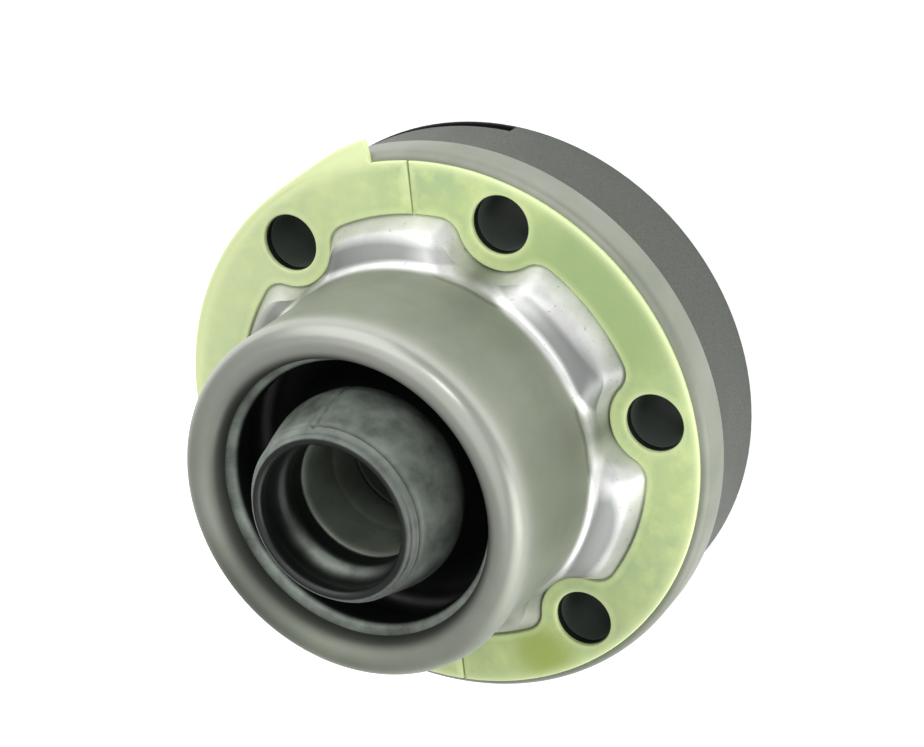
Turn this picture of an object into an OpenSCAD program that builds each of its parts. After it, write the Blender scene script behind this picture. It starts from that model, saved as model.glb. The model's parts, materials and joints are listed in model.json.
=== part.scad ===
// Fixed-ball CV joint for a propshaft: a disc-shaped outer race that bolts to a flange,
// a lobed sheet-metal can over its front, a rubber boot in the can's rolled mouth,
// and a ball cage, six balls and an inner race with its sleeve inside.
// The axis is +Z. Z = 0 is the rear face, which lies on the mating flange. The first bolt hole is on +X.

/* [Outer race] */
// Outside diameter of the race
race_d = 101; // [98:0.5:122]
// Thickness of the race
race_w = 24.6; // [24.2:0.1:30]
// Diameter of the bolt circle
bolt_pcd = 86; // [85:0.5:88]
// Diameter of each bolt hole
bolt_hole_d = 10.3; // [8:0.1:10.5]
// Size of the bevels on the race's outer edges
race_bevel = 0.7; // [0.3:0.1:1.2]
// Angle at which the milled slot in the rim starts
slot_start = 73; // [66:1:76]
// Angle that the slot runs round the rim
slot_sweep = 38; // [20:1:40]
// Width of the slot along the axis
slot_w = 2.9; // [2:0.1:4]
// Depth of the slot
slot_depth = 2.4; // [1:0.1:2.6]
// Rim left behind the slot
slot_rim = 0.9; // [0.6:0.1:2]

/* [Balls and cage] */
// Diameter of each ball
ball_d = 15; // [12:0.1:15.2]
// Diameter of the circle through the ball centres
ball_circle_d = 58; // [48:0.5:58.5]
// Depth of the joint centre below the race's front face
centre_drop = 10; // [9.5:0.1:10.4]
// Radial clearance of a ball in its track
track_gap = 0.1; // [0.08:0.01:0.15]
// How far the cage stands outside the ball circle
cage_out = 2; // [1.5:0.1:2.3]
// Thickness of the cage wall
cage_t = 4.4; // [3.5:0.1:5]
// Clearance of the cage on both of its spherical faces
cage_gap = 0.2; // [0.1:0.05:0.3]
// Width of the solid band at each end of the cage
cage_band = 3; // [2:0.1:3.5]
// Clearance of a ball along the axis in its window
window_gap = 0.05; // [0.03:0.01:0.1]
// Spare length of a window round the cage
window_spare = 2.2; // [1:0.1:3]
// Corner radius of a window
window_round = 2; // [1:0.1:4]

/* [Inner race] */
// Half the thickness of the inner race
inner_half_w = 10; // [9:0.1:10.5]
// Radial width of the bevels on the inner race's ends
inner_bevel_w = 4.5; // [3:0.1:5]
// Height of those bevels
inner_bevel_h = 1.3; // [0.8:0.1:2]
// Diameter between opposite tooth tips of the bore
spline_d = 20.4; // [17:0.2:24.6]
// Number of teeth in the bore
tooth_count = 24; // [20:1:28]
// Depth of the gaps between the teeth
tooth_depth = 0.9; // [0.6:0.1:1]
// Height of the shaft ring's groove above the inner race's rear end
ring_groove_h = 3; // [2:0.1:4]
// Depth of that groove outside the tooth tips
ring_groove_depth = 1.3; // [1:0.1:1.6]

/* [Sleeve and shaft ring] */
// Step out from the tooth tips to the sleeve's smooth bore
bore_step = 0.6; // [0.2:0.1:1.2]
// Wall thickness of the sleeve
sleeve_t = 3.5; // [2.5:0.1:4]
// Depth of the sleeve's front end below the middle of the can's lip
sleeve_drop = 3.7; // [2:0.1:6]
// Depth of the seat for the sleeve in the inner race
sleeve_seat = 4; // [3:0.5:6]
// Clearance round the sleeve in its seat
seat_gap = 0.02; // [0.01:0.01:0.05]
// Reach of the stop ring that rests on the inner race
stop_reach = 2.4; // [1.5:0.1:3]
// Thickness of the stop ring's rim
stop_t = 1.6; // [1:0.1:2]
// Bevel on the sleeve's front end
sleeve_bevel = 0.8; // [0.4:0.1:1]
// Radius of the sealing cord
cord_r = 0.6; // [0.4:0.05:0.8]
// Depth of the cord below the sleeve's front end
cord_drop = 6; // [4:0.5:8]
// Clearance of the cord in its groove and under the collar
cord_gap = 0.05; // [0.02:0.01:0.1]
// Thickness of the ring that holds the shaft in
ring_t = 1.4; // [1:0.1:1.6]
// Reach of that ring inside the tooth tips
ring_reach = 0.9; // [0.5:0.1:1.2]
// Clearance of that ring in its groove
ring_gap = 0.1; // [0.05:0.05:0.2]
// Free gap between the ends of that ring
ring_split = 5; // [3:0.5:8]

/* [Boot can] */
// Sheet thickness of the can
can_t = 1.2; // [1:0.05:1.45]
// Clearance between the can's skirt and the race
skirt_gap = 0.3; // [0.1:0.05:0.5]
// Length of the skirt, measured back from the can's front face
skirt_len = 7.3; // [5:0.1:12]
// Corner radius between the skirt and the can's front face
skirt_corner = 1.7; // [1.5:0.1:2.5]
// Outside diameter over the lobes between the bolts
lobe_d = 81.2; // [78:0.1:83]
// Height of the lobes' shoulder above the can's front face
lobe_h = 6.3; // [5:0.1:8]
// Corner radius of the lobes
lobe_round = 4; // [2.5:0.1:4.5]
// Slope of the lobes' top, as the angle of its normal from the flange
lobe_slope = 70; // [60:1:80]
// Radius of the clearance pocket round each bolt
pocket_r = 8.6; // [8:0.1:9]
// Radius of the hollow where the lobes meet the neck
neck_fillet = 2.5; // [1.5:0.1:4]
// Half angle of the neck's taper
neck_taper = 5.5; // [3:0.1:7]
// Diameter of the circle through the middle of the rolled lip
lip_ring_d = 58.3; // [56:0.1:60]
// Outside radius of the rolled lip
lip_r = 3.55; // [3:0.05:4]
// Height of the middle of the lip above the can's front face
neck_h = 31.5; // [28:0.1:36]
// Depth below the middle of the lip at which the lip's own wall starts
lip_start = 8; // [6:0.5:9]

/* [Gasket and release liner] */
// Thickness of the gasket under the can
gasket_t = 0.4; // [0.3:0.05:0.8]
// Thickness of the liner on the can's flange
liner_t = 0.8; // [0.4:0.1:1.2]
// How far the liner's rim lies inside the can's skirt
liner_margin = 1.6; // [1.5:0.1:4]
// How far the liner and the gasket stay clear of the holes and the lobes
sheet_gap = 0.2; // [0.1:0.05:0.4]
// Angle of the split between the liner's halves
split_angle = 83; // [80:0.5:86]
// Width of that split
split_w = 0.3; // [0.2:0.05:1]
// Reach of the pull tab outside the liner's rim
tab_reach = 4.3; // [2:0.1:6]
// Angle of the pull tab's square edge
tab_angle = 92.5; // [90:0.5:96]
// Length of the pull tab's front edge
tab_len = 21; // [12:0.5:24]

/* [Rubber boot] */
// Wall thickness of the rubber
boot_t = 1.7; // [1.2:0.1:2]
// How far the bead reaches in from the middle of the lip
bead_reach = 4.95; // [4:0.05:5.5]
// Depth of the bead's front face below the end of the rolled lip
bead_drop = 0.6; // [0.4:0.1:1]
// Depth of the bead below the middle of the lip
bead_depth = 6; // [5:0.1:7]
// Radius of the bead's inner corners
bead_round = 1.4; // [0.8:0.1:1.6]
// Depth of the fold's floor below the middle of the lip
fold_depth = 20; // [18:0.5:21]
// Radius of the outer corner at the fold's floor
fold_round = 5; // [3:0.5:6]
// Clearance between rubber and the metal that it sits on
rubber_gap = 0.3; // [0.2:0.05:0.4]

/* [Boot collar] */
// Height of the collar's rim above the middle of the can's lip
collar_rise = 8.9; // [6:0.1:10]
// Depth of the collar's foot below the middle of the can's lip
collar_depth = 14.7; // [12:0.1:15.5]
// How far the collar's mouth closes in over the sleeve's end
collar_lip = 1.3; // [0.8:0.1:2]
// Wall thickness at the collar's mouth
collar_t = 1.9; // [1.4:0.1:2.4]
// Wall thickness at the collar's foot
collar_foot_t = 4.6; // [3.5:0.1:5]
// How far the collar's shoulder stands outside its rim
collar_flare = 1.5; // [0.8:0.1:2]
// Depth of the groove round the rim
collar_groove = 0.7; // [0.3:0.1:1]
// Width of that groove
collar_groove_w = 2; // [1:0.1:3]
// Depth of that groove's upper edge below the rim
collar_groove_drop = 3.2; // [2.5:0.1:4]

/* [Rear cover] */
// Width of the race's face between the cover's seat and the bolt holes
cover_land = 1.55; // [1:0.05:3]
// Clearance round the cover in its seat
cover_gap = 0.1; // [0.05:0.05:0.3]
// Sheet thickness of the cover
cover_t = 0.9; // [0.7:0.1:1]
// Depth of the cover's outer face below the race's rear face
cover_sink = 0.3; // [0.1:0.1:0.6]
// Thickness of the cover's seal
cover_seal_t = 0.4; // [0.3:0.1:0.5]
// Width of that seal
cover_seal_w = 1.5; // [1:0.1:3]
// Width of the cover's flat rim inside the race's rear opening
cover_rim = 3.4; // [2:0.1:6]
// Depth of that dish
cover_dish = 0.3; // [0.1:0.1:0.4]

/* [Hidden] */

$fn = 96;
bolt_count = 6;
bolt_pitch = 360 / bolt_count;
// Each track lies midway between two bolts. It reaches this angle fore and aft of its ball,
// which is past both races and short of its neighbours.
track_angle = bolt_pitch / 2;
track_reach = 50;
race_r = race_d / 2;
bolt_r = bolt_pcd / 2;
hole_r = bolt_hole_d / 2;
centre_z = race_w - centre_drop;
ball_r = ball_d / 2;
ball_ring_r = ball_circle_d / 2;
track_r = ball_r + track_gap;
// Every cut runs this far past the face that it opens.
over = 1;

// Heights of the flange's layers
gasket_z = race_w;
plate_z = gasket_z + gasket_t;
can_z = plate_z + can_t;
liner_z = can_z + liner_t;
lip_z = can_z + neck_h;

// Colours
phosphate = "#5d6259";
can_steel = "#a3a59a";
liner_green = "#c3d593";
rubber = "#2c332f";
bright_steel = "#b8bbbd";
gasket_black = "#3a3d3a";

// Points on an arc in the plane, from one angle to another
function arc(centre, r, from, to, steps = 12) = [
    for (i = [0 : steps]) let (a = from + (to - from) * i / steps)
        centre + r * [cos(a), sin(a)]
];

// A ring of copies at the bolt pitch, the first one at a given angle
module at_pitch(first = 0) {
    for (i = [0 : bolt_count - 1]) rotate(first + i * bolt_pitch) children();
}

// Cylinders of one radius round every bolt, between two heights
module bolt_cylinders(r, low, high) {
    at_pitch() translate([bolt_r, 0, low]) cylinder(r = r, h = high - low);
}

// A flat ring whose bore is cut right through
module washer(outer_r, inner_r, low, high) {
    difference() {
        translate([0, 0, low]) cylinder(r = outer_r, h = high - low);
        translate([0, 0, low - over]) cylinder(r = inner_r, h = high - low + 2 * over);
    }
}

// The six ball tracks: each is a stretch of a ring that stands in a plane through the axis
module tracks() {
    translate([0, 0, centre_z]) at_pitch(track_angle) rotate([90, 0, 0]) rotate(-track_reach)
        rotate_extrude(angle = 2 * track_reach) translate([ball_ring_r, 0]) circle(r = track_r);
}

// Outer race
cage_r = ball_ring_r + cage_out;
cover_seat_r = bolt_r - hole_r - cover_land;
cover_seat_z = cover_sink + cover_t + cover_seal_t;

module race_blank() {
    rotate_extrude() polygon([
        [0, 0], [race_r - race_bevel, 0], [race_r, race_bevel], [race_r, race_w - race_bevel],
        [race_r - race_bevel, race_w], [0, race_w]
    ]);
}

module rim_slot() {
    rotate(slot_start) translate([0, 0, slot_rim])
        rotate_extrude(angle = slot_sweep) translate([race_r - slot_depth, 0])
            square([slot_depth + over, slot_w]);
}

module outer_race() {
    color(phosphate) difference() {
        race_blank();
        translate([0, 0, centre_z]) sphere(r = cage_r + cage_gap);
        tracks();
        translate([0, 0, -over]) cylinder(r = cover_seat_r, h = cover_seat_z + over);
        bolt_cylinders(hole_r, -over, race_w + over);
        rim_slot();
    }
}

// The ground that the bolts take from the lobes: a round pad for each bolt, and beside it what
// lies outside the lobes' rounded corners. The inset moves the lobes' wall inwards.
module bolt_pads(inset, low, high) {
    pad = pocket_r + inset;
    corner = lobe_round - inset;
    corner_ring = lobe_d / 2 - lobe_round;
    corner_turn = acos((pow(corner_ring, 2) + pow(bolt_r, 2) - pow(pad + corner, 2))
        / (2 * corner_ring * bolt_r));
    centre = corner_ring * [cos(corner_turn), sin(corner_turn)];
    meet = atan2(centre[1], centre[0] - bolt_r);
    steps = 6;
    side = arc(centre, corner, meet - 180, corner_turn, steps);
    // The first and the last step run on straight, into the pad and past the lobes' wall.
    edge = concat(
        [side[0] + (side[0] - side[1])],
        [for (i = [1 : steps - 1]) side[i]],
        [side[steps] + (side[steps] - side[steps - 1])]
    );
    bolt_cylinders(pad, low, high);
    at_pitch() translate([0, 0, low]) linear_extrude(high - low) polygon(concat(
        edge, [[bolt_r, edge[steps][1]], [bolt_r, -edge[steps][1]]],
        [for (i = [steps : -1 : 0]) [edge[i][0], -edge[i][1]]]
    ));
}

// A flat sheet on the flange: a disc with the bolt holes and the lobed opening
module flange_sheet(r, inset, low, high) {
    difference() {
        translate([0, 0, low]) cylinder(r = r, h = high - low);
        difference() {
            translate([0, 0, low - over]) cylinder(r = lobe_d / 2 - inset, h = high - low + 2 * over);
            bolt_pads(inset, low - 2 * over, high + 2 * over);
        }
        bolt_cylinders(hole_r + sheet_gap, low - over, high + over);
    }
}

module flange_gasket() {
    color(gasket_black) flange_sheet(race_r - race_bevel, can_t, gasket_z, plate_z);
}

// Boot can
skirt_r = race_r + skirt_gap + can_t;
lip_centre = [lip_ring_d / 2, lip_z];
lobe_centre = [lobe_d / 2 - lobe_round, can_z + lobe_h - lobe_round * sin(lobe_slope)];
lobe_normal = [cos(lobe_slope), sin(lobe_slope)];
lobe_along = [-sin(lobe_slope), cos(lobe_slope)];
neck_normal = [cos(neck_taper), sin(neck_taper)];
// Length of the lobes' straight top, so that its hollow ends on the neck's line
lobe_top_len = ((lobe_centre + (lobe_round + neck_fillet) * lobe_normal) * neck_normal
    - (lip_centre * neck_normal + lip_r + neck_fillet)) / sin(lobe_slope - neck_taper);
hollow_centre = lobe_centre + (lobe_round + neck_fillet) * lobe_normal + lobe_top_len * lobe_along;
lip_start_z = lip_z - lip_start;
// Thickness of the neck's wall, measured square to the axis
neck_t = can_t / neck_normal[0];

// Radius of the neck's outer face at a height
function neck_r(z) = (lip_centre * neck_normal + lip_r - z * neck_normal[1]) / neck_normal[0];

// The can's side from the flange to the foot of the lip, set in by a wall thickness
function shoulder_line(inset, foot) = concat(
    [[0, foot], [lobe_centre[0] + lobe_round - inset, foot]],
    arc(lobe_centre, lobe_round - inset, 0, lobe_slope),
    arc(hollow_centre, neck_fillet + inset, lobe_slope + 180, neck_taper + 180),
    [[neck_r(lip_start_z) - inset / neck_normal[0], lip_start_z], [0, lip_start_z]]
);

module can_side(inset, foot) {
    difference() {
        rotate_extrude() polygon(shoulder_line(inset, foot));
        bolt_pads(inset, foot - over, lip_start_z + over);
    }
}

// The upper neck and the rolled lip, as one bent wall
module can_lip() {
    rotate_extrude() polygon(concat(
        [[neck_r(lip_start_z), lip_start_z]],
        arc(lip_centre, lip_r, neck_taper, 180, 24),
        arc(lip_centre, lip_r - can_t, 180, neck_taper, 24),
        [[neck_r(lip_start_z) - neck_t, lip_start_z]]
    ));
}

module can_plate() {
    corner_centre = [skirt_r - skirt_corner, can_z - skirt_corner];
    foot_z = can_z - skirt_len;
    rotate_extrude() polygon(concat(
        [[0, can_z]],
        arc(corner_centre, skirt_corner, 90, 0, 6),
        [[skirt_r, foot_z], [skirt_r - can_t, foot_z]],
        arc(corner_centre, skirt_corner - can_t, 0, 90, 4),
        [[0, plate_z]]
    ));
}

module boot_can() {
    color(can_steel) {
        difference() {
            union() {
                can_plate();
                can_side(0, can_z - can_t / 2);
            }
            can_side(can_t, plate_z - over);
            bolt_cylinders(hole_r, plate_z - over, can_z + over);
        }
        can_lip();
    }
}

// Release liner
liner_r = skirt_r - liner_margin;

// One side of the liner's split, as a block that is far larger than the liner
module liner_side(side) {
    rotate(split_angle) translate([-race_d, side > 0 ? split_w / 2 : -race_d - split_w / 2, can_z])
        cube([2 * race_d, race_d, liner_t]);
}

module liner_half(side) {
    intersection() {
        flange_sheet(liner_r, -sheet_gap, can_z, liner_z);
        liner_side(side);
    }
}

// The pull tab has a square edge and runs off the rim from there until the two meet again.
module liner_tab() {
    root = 1.5;
    meet_r = sqrt(liner_r * liner_r - tab_len * tab_len);
    half_way = [(2 * (liner_r + tab_reach) + meet_r) / 3, tab_len / 2];
    rotate(tab_angle) translate([0, 0, can_z]) linear_extrude(liner_t) polygon([
        [liner_r - root, 0], [liner_r + tab_reach, 0], half_way, [meet_r, tab_len],
        [meet_r - root, tab_len]
    ]);
}

module liner_left() {
    color(liner_green) {
        liner_half(1);
        liner_tab();
    }
}

module liner_right() {
    color(liner_green) liner_half(-1);
}

// Radius of the boot's outer face at a height
function boot_r(z) = neck_r(z) - neck_t - rubber_gap;

// Collar's seat and walls, from the sleeve outwards
sleeve_bore_r = spline_d / 2 + bore_step;
sleeve_r = sleeve_bore_r + sleeve_t;
collar_seat_r = sleeve_r + rubber_gap;
collar_mouth_r = collar_seat_r - collar_lip;
collar_rim_r = collar_mouth_r + collar_t;
collar_foot_r = collar_seat_r + collar_foot_t;
sleeve_top = lip_z - sleeve_drop;

// Rubber boot: the bead in the lip, the outer wall and the floor of the fold
module rubber_boot() {
    bead_r = lip_r - can_t - rubber_gap;
    bead_in = lip_centre[0] - bead_reach + bead_round;
    bead_low = lip_z - bead_depth;
    bead_high = lip_z - bead_drop;
    // The bead's round top starts where it clears the end of the rolled lip.
    lip_side = 180 + asin(rubber_gap / bead_r);
    fold_z = lip_z - fold_depth;
    fold_centre = [boot_r(fold_z + fold_round) - fold_round, fold_z + fold_round];
    // The floor ends half way to the collar's foot, where the web up to the collar begins.
    floor_in = (collar_foot_r + fold_centre[0]) / 2;
    color(rubber) rotate_extrude() polygon(concat(
        arc(lip_centre, bead_r, lip_side, neck_taper, 20),
        arc(fold_centre, fold_round, 0, -90),
        [[floor_in, fold_z], [floor_in, fold_z + boot_t]],
        arc(fold_centre, fold_round - boot_t, -90, 0),
        [[boot_r(bead_low) - boot_t, bead_low - bead_round]],
        arc([bead_in, bead_low + bead_round], bead_round, 270, 180, 6),
        arc([bead_in, bead_high - bead_round], bead_round, 180, 90, 6)
    ));
}

// Rear cover and its seal
cover_r = cover_seat_r - cover_gap;
seat_depth = centre_z - cover_seat_z;
rear_opening_r = sqrt(pow(cage_r + cage_gap, 2) - seat_depth * seat_depth);

module rear_cover() {
    dish_r = rear_opening_r - cover_rim;
    dish_in = dish_r - cover_t;
    low = cover_sink;
    high = cover_sink + cover_t;
    color(bright_steel) rotate_extrude() polygon([
        [0, low + cover_dish], [dish_in, low + cover_dish], [dish_r, low], [cover_r, low],
        [cover_r, high], [dish_r, high], [dish_in, high + cover_dish], [0, high + cover_dish]
    ]);
}

module cover_seal() {
    color(gasket_black)
        washer(cover_r, cover_r - cover_seal_w, cover_sink + cover_t, cover_seat_z);
}

// Cage and balls
cage_in_r = cage_r - cage_t;

module cage_window() {
    half_w = ball_r + window_gap - window_round;
    half_l = ball_r + window_spare / 2 - window_round;
    translate([cage_in_r - cage_t, 0, 0]) rotate([90, 0, 90]) linear_extrude(3 * cage_t)
        polygon(concat(
            arc([half_l, half_w], window_round, 0, 90, 5),
            arc([-half_l, half_w], window_round, 90, 180, 5),
            arc([-half_l, -half_w], window_round, 180, 270, 5),
            arc([half_l, -half_w], window_round, 270, 360, 5)
        ));
}

module cage() {
    width = 2 * (ball_r + window_gap + cage_band);
    color(bright_steel) translate([0, 0, centre_z]) difference() {
        intersection() {
            sphere(r = cage_r);
            cylinder(r = cage_r + over, h = width, center = true);
        }
        sphere(r = cage_in_r);
        at_pitch(track_angle) cage_window();
    }
}

module ball(number) {
    color(bright_steel) rotate(track_angle + (number - 1) * bolt_pitch)
        translate([ball_ring_r, 0, centre_z]) sphere(r = ball_r);
}

// Inner race
inner_r = cage_in_r - cage_gap;
inner_low = centre_z - inner_half_w;
inner_high = centre_z + inner_half_w;
spline_r = spline_d / 2;
sleeve_foot = inner_high - sleeve_seat;
ring_z = inner_low + ring_groove_h;

// The bore's outline: each tooth has a flat tip and straight flanks, and is a little narrower
// at its tip than the gap beside it is at its root.
module toothed_outline() {
    pitch = 360 / tooth_count;
    root_r = spline_r + tooth_depth;
    polygon([
        for (i = [0 : tooth_count - 1], at = [[-0.5, 0], [-0.3, 0], [-0.2, 1], [0.2, 1], [0.3, 0]])
            let (a = (i + at[0]) * pitch, r = at[1] > 0 ? root_r : spline_r) r * [cos(a), sin(a)]
    ]);
}

module inner_race() {
    shoulder = inner_half_w - inner_bevel_h;
    shoulder_r = sqrt(inner_r * inner_r - shoulder * shoulder);
    color(phosphate) difference() {
        translate([0, 0, centre_z]) intersection() {
            sphere(r = inner_r);
            rotate_extrude() polygon([
                [0, -inner_half_w], [shoulder_r - inner_bevel_w, -inner_half_w],
                [shoulder_r, -shoulder], [inner_r + over, -shoulder],
                [inner_r + over, shoulder], [shoulder_r, shoulder],
                [shoulder_r - inner_bevel_w, inner_half_w], [0, inner_half_w]
            ]);
        }
        tracks();
        translate([0, 0, inner_low - over]) linear_extrude(2 * inner_half_w + 2 * over) toothed_outline();
        translate([0, 0, sleeve_foot]) cylinder(r = sleeve_r + seat_gap, h = sleeve_seat + over);
        translate([0, 0, ring_z - ring_gap])
            cylinder(r = spline_r + ring_groove_depth, h = ring_t + 2 * ring_gap);
    }
}

// Sleeve that carries the boot's collar
cord_z = sleeve_top - cord_drop;
cord_ring_r = collar_seat_r - cord_r - cord_gap;

module sleeve() {
    groove_r = cord_ring_r - cord_r - cord_gap;
    groove_half = cord_r + cord_gap;
    color(bright_steel) rotate_extrude() polygon([
        [sleeve_bore_r, sleeve_foot], [sleeve_r, sleeve_foot], [sleeve_r, inner_high],
        [sleeve_r + stop_reach, inner_high], [sleeve_r + stop_reach, inner_high + stop_t],
        [sleeve_r, inner_high + stop_t + stop_reach / 2],
        [sleeve_r, cord_z - groove_half], [groove_r, cord_z - groove_half],
        [groove_r, cord_z + groove_half], [sleeve_r, cord_z + groove_half],
        [sleeve_r, sleeve_top - sleeve_bevel], [sleeve_r - sleeve_bevel, sleeve_top],
        [sleeve_bore_r + sleeve_bevel, sleeve_top], [sleeve_bore_r, sleeve_top - sleeve_bevel]
    ]);
}

module sleeve_seal() {
    color(gasket_black) translate([0, 0, cord_z]) rotate_extrude()
        translate([cord_ring_r, 0]) circle(r = cord_r);
}

module shaft_ring() {
    outer_r = spline_r + ring_groove_depth - ring_gap;
    color(bright_steel) difference() {
        washer(outer_r, spline_r - ring_reach, ring_z, ring_z + ring_t);
        translate([0, -ring_split / 2, ring_z - over])
            cube([outer_r + over, ring_split, ring_t + 2 * over]);
    }
}

// Collar of the rubber boot
module boot_collar() {
    foot_z = lip_z - collar_depth;
    rim_z = lip_z + collar_rise;
    round_r = collar_t / 2;
    groove_high = rim_z - collar_groove_drop;
    groove_low = groove_high - collar_groove_w;
    shoulder_r = collar_rim_r + collar_flare;
    shoulder_z = groove_low - (groove_low - foot_z) / 3;
    shelf_z = sleeve_top + rubber_gap;
    bevel = collar_lip / 2;
    color(rubber) rotate_extrude() polygon(concat(
        [[collar_seat_r, foot_z], [collar_foot_r - bevel, foot_z], [collar_foot_r, foot_z + bevel]],
        [[(collar_foot_r + shoulder_r) / 2, (foot_z + shoulder_z) / 2], [shoulder_r, shoulder_z]],
        [[collar_rim_r + collar_groove, groove_low - collar_groove], [collar_rim_r, groove_low]],
        [[collar_rim_r, groove_high], [collar_rim_r + collar_groove / 2, groove_high + bevel]],
        arc([collar_rim_r - round_r, rim_z - round_r], round_r, 0, 180, 8),
        [[collar_mouth_r, shelf_z + bevel], [collar_mouth_r - bevel, shelf_z],
            [collar_seat_r, shelf_z]]
    ));
}

outer_race();
flange_gasket();
boot_can();
liner_left();
liner_right();
rubber_boot();
rear_cover();
cover_seal();
cage();
ball(1);  // ball_1
ball(2);  // ball_2
ball(3);  // ball_3
ball(4);  // ball_4
ball(5);  // ball_5
ball(6);  // ball_6
inner_race();
sleeve();
sleeve_seal();
shaft_ring();
boot_collar();
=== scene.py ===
# A fixed-ball CV joint that stands on its rear face, seen from above its front.
# The can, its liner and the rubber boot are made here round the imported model.
# Lengths are in millimetres in the joint's own frame, and turn into metres where a mesh is made.
import json
import math

import bmesh
import bpy
import numpy as np
from mathutils import Euler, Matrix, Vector
from mathutils.geometry import delaunay_2d_cdt


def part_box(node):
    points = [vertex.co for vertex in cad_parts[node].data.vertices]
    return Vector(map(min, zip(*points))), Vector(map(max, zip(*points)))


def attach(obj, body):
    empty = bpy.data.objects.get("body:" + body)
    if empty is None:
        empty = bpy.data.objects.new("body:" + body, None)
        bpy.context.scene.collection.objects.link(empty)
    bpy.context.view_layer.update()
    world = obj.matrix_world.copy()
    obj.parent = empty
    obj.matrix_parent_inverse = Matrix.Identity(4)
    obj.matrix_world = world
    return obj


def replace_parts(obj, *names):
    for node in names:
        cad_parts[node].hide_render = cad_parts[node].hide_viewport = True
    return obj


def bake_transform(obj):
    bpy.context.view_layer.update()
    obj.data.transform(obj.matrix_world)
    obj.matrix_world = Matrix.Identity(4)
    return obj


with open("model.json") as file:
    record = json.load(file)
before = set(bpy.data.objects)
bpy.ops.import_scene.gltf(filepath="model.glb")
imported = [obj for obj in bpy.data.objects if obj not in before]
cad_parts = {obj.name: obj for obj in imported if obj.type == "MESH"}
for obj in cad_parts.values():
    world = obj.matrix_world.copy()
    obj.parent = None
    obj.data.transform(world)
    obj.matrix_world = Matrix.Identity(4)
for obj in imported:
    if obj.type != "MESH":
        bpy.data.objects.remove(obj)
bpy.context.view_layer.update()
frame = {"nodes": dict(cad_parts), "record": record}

MM = 0.001


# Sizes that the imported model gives
def reach(node):
    """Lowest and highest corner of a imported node, in millimetres."""
    low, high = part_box(node)
    return np.array(low) / MM, np.array(high) / MM


mounts = {mount["name"]: mount for mount in frame["record"]["mounts"]}
bolt_r = mounts["flange_bolts"]["dims"]["pcd_mm"] / 2
bolt_count = mounts["flange_bolts"]["dims"]["count"]
hole_r = mounts["flange_bolts"]["dims"]["hole_r_mm"]
mouth_r = mounts["collar_mouth"]["dims"]["r_mm"]
bolt_pitch = 360 / bolt_count
bolt_places = [
    bolt_r * np.array([math.cos(turn), math.sin(turn)])
    for turn in np.radians(np.arange(bolt_count) * bolt_pitch)
]

race_r = reach("outer_race")[1][0]
plate_z = reach("flange_gasket")[1][2]
can_low, can_high = reach("boot_can")
can_z = reach("liner_right")[0][2]
liner_z = reach("liner_right")[1][2]
liner_r = reach("liner_right")[1][0]
skirt_r = can_high[0]
collar_top = reach("boot_collar")[1][2]
boot_low = reach("rubber_boot")[0][2]
sleeve_top = reach("sleeve")[1][2]
can_t = can_z - plate_z

# The can's own shape: lobes between the bolts, a tapered neck and a rolled lip
lip_r = 3.55
lip_ring_r = 29.15
lip_z = can_high[2] - lip_r
lobe_r = 40.6
lobe_round = 4.0
lobe_slope = 20
pocket_r = 8.6
foot_round = 0.3
skirt_round = 1.7
# The neck in section, as radius and height above the flange, from the lobes' tops up its flared foot
NECK = [
    (34.9, 7.42), (34.0, 7.8), (33.4, 8.55), (33.05, 9.9),
    (32.85, 12), (32.8, 15), (32.75, 19), (32.7, 23),
]
# Width over which the press rounds the lobes' shoulders, and the pockets' edges up the neck
shoulder_soft = 7.0
pocket_soft = 2.0
# How far the walls lean in for each millimetre of height, at radii from the pockets to the lobes' ends
LEAN = [(34.4, 0), (35.4, 0.35), (36.6, 0.6), (38.2, 0.68), (39.8, 0.6), (40.6, 0.5)]
lean_height = 8
# Height above the flange, and the radius at which the pockets' walls stop against the neck
POCKET_STOP = [(3, 32.4), (7.6, 33.2), (10.6, 37)]
stop_soft = 2.5

# The liner
liner_gap = 0.3
liner_edge = 0.3
split_angle = 83
split_w = 0.4
tab_angle = 91.3
# The tab's rim, as a radius at each angle past its square end. It runs out along the left side.
TAB = [
    (0, 54.65), (2.7, 54.36), (5.9, 53.9), (9, 53.35), (12, 52.8), (16, 52.25), (22, 51.85),
    (35, 51.7), (60, 51.6), (80, 51.2), (95, liner_r),
]

# The boot
rubber_gap = 0.3
boot_t = 1.7
bead_reach = 4.95
bead_drop = 1.3
bead_depth = 6
bead_round = 1.4
fold_round = 5
seat_r = 14.6


# Shapes
def direction(degrees):
    """Unit vector at an angle in a plane."""
    turn = math.radians(degrees)
    return np.array([math.cos(turn), math.sin(turn)])


def radius_of(places):
    """Distance of each point from the joint's axis."""
    return np.hypot(places[:, 0], places[:, 1])


def facing(places, degrees):
    """How far each point lies to one side, from 1 there to -1 across from it."""
    return places[:, :2] @ direction(degrees) / radius_of(places)


def hump(off, spread):
    """1 in the middle, and falling smoothly to 0 beyond a spread."""
    return np.exp(-((off / spread) ** 2))


def arc(centre, radius, start, stop, steps):
    """Points along an arc, both ends included."""
    turn = np.radians(np.linspace(start, stop, steps + 1))
    return np.column_stack([centre[0] + radius * np.cos(turn), centre[1] + radius * np.sin(turn)])


def line(start, stop, steps):
    """Points along a straight line, both ends included."""
    return np.linspace(start, stop, steps + 1)


def curve(points, steps):
    """A smooth open line through points, with some steps to each stretch."""
    points = np.asarray(points, float)
    before = np.vstack([2 * points[0] - points[1], points[:-2]])
    after = np.vstack([points[2:], 2 * points[-1] - points[-2]])
    share = np.linspace(0, 1, steps, endpoint=False)[:, None]
    stretches = []
    for a, b, c, d in zip(before, points[:-1], points[1:], after):
        stretches.append(
            b
            + 0.5 * share * (c - a)
            + share**2 * (a - 2.5 * b + 2 * c - 0.5 * d)
            + share**3 * (1.5 * (b - c) + 0.5 * (d - a))
        )
    return np.vstack([*stretches, points[-1:]])


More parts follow.
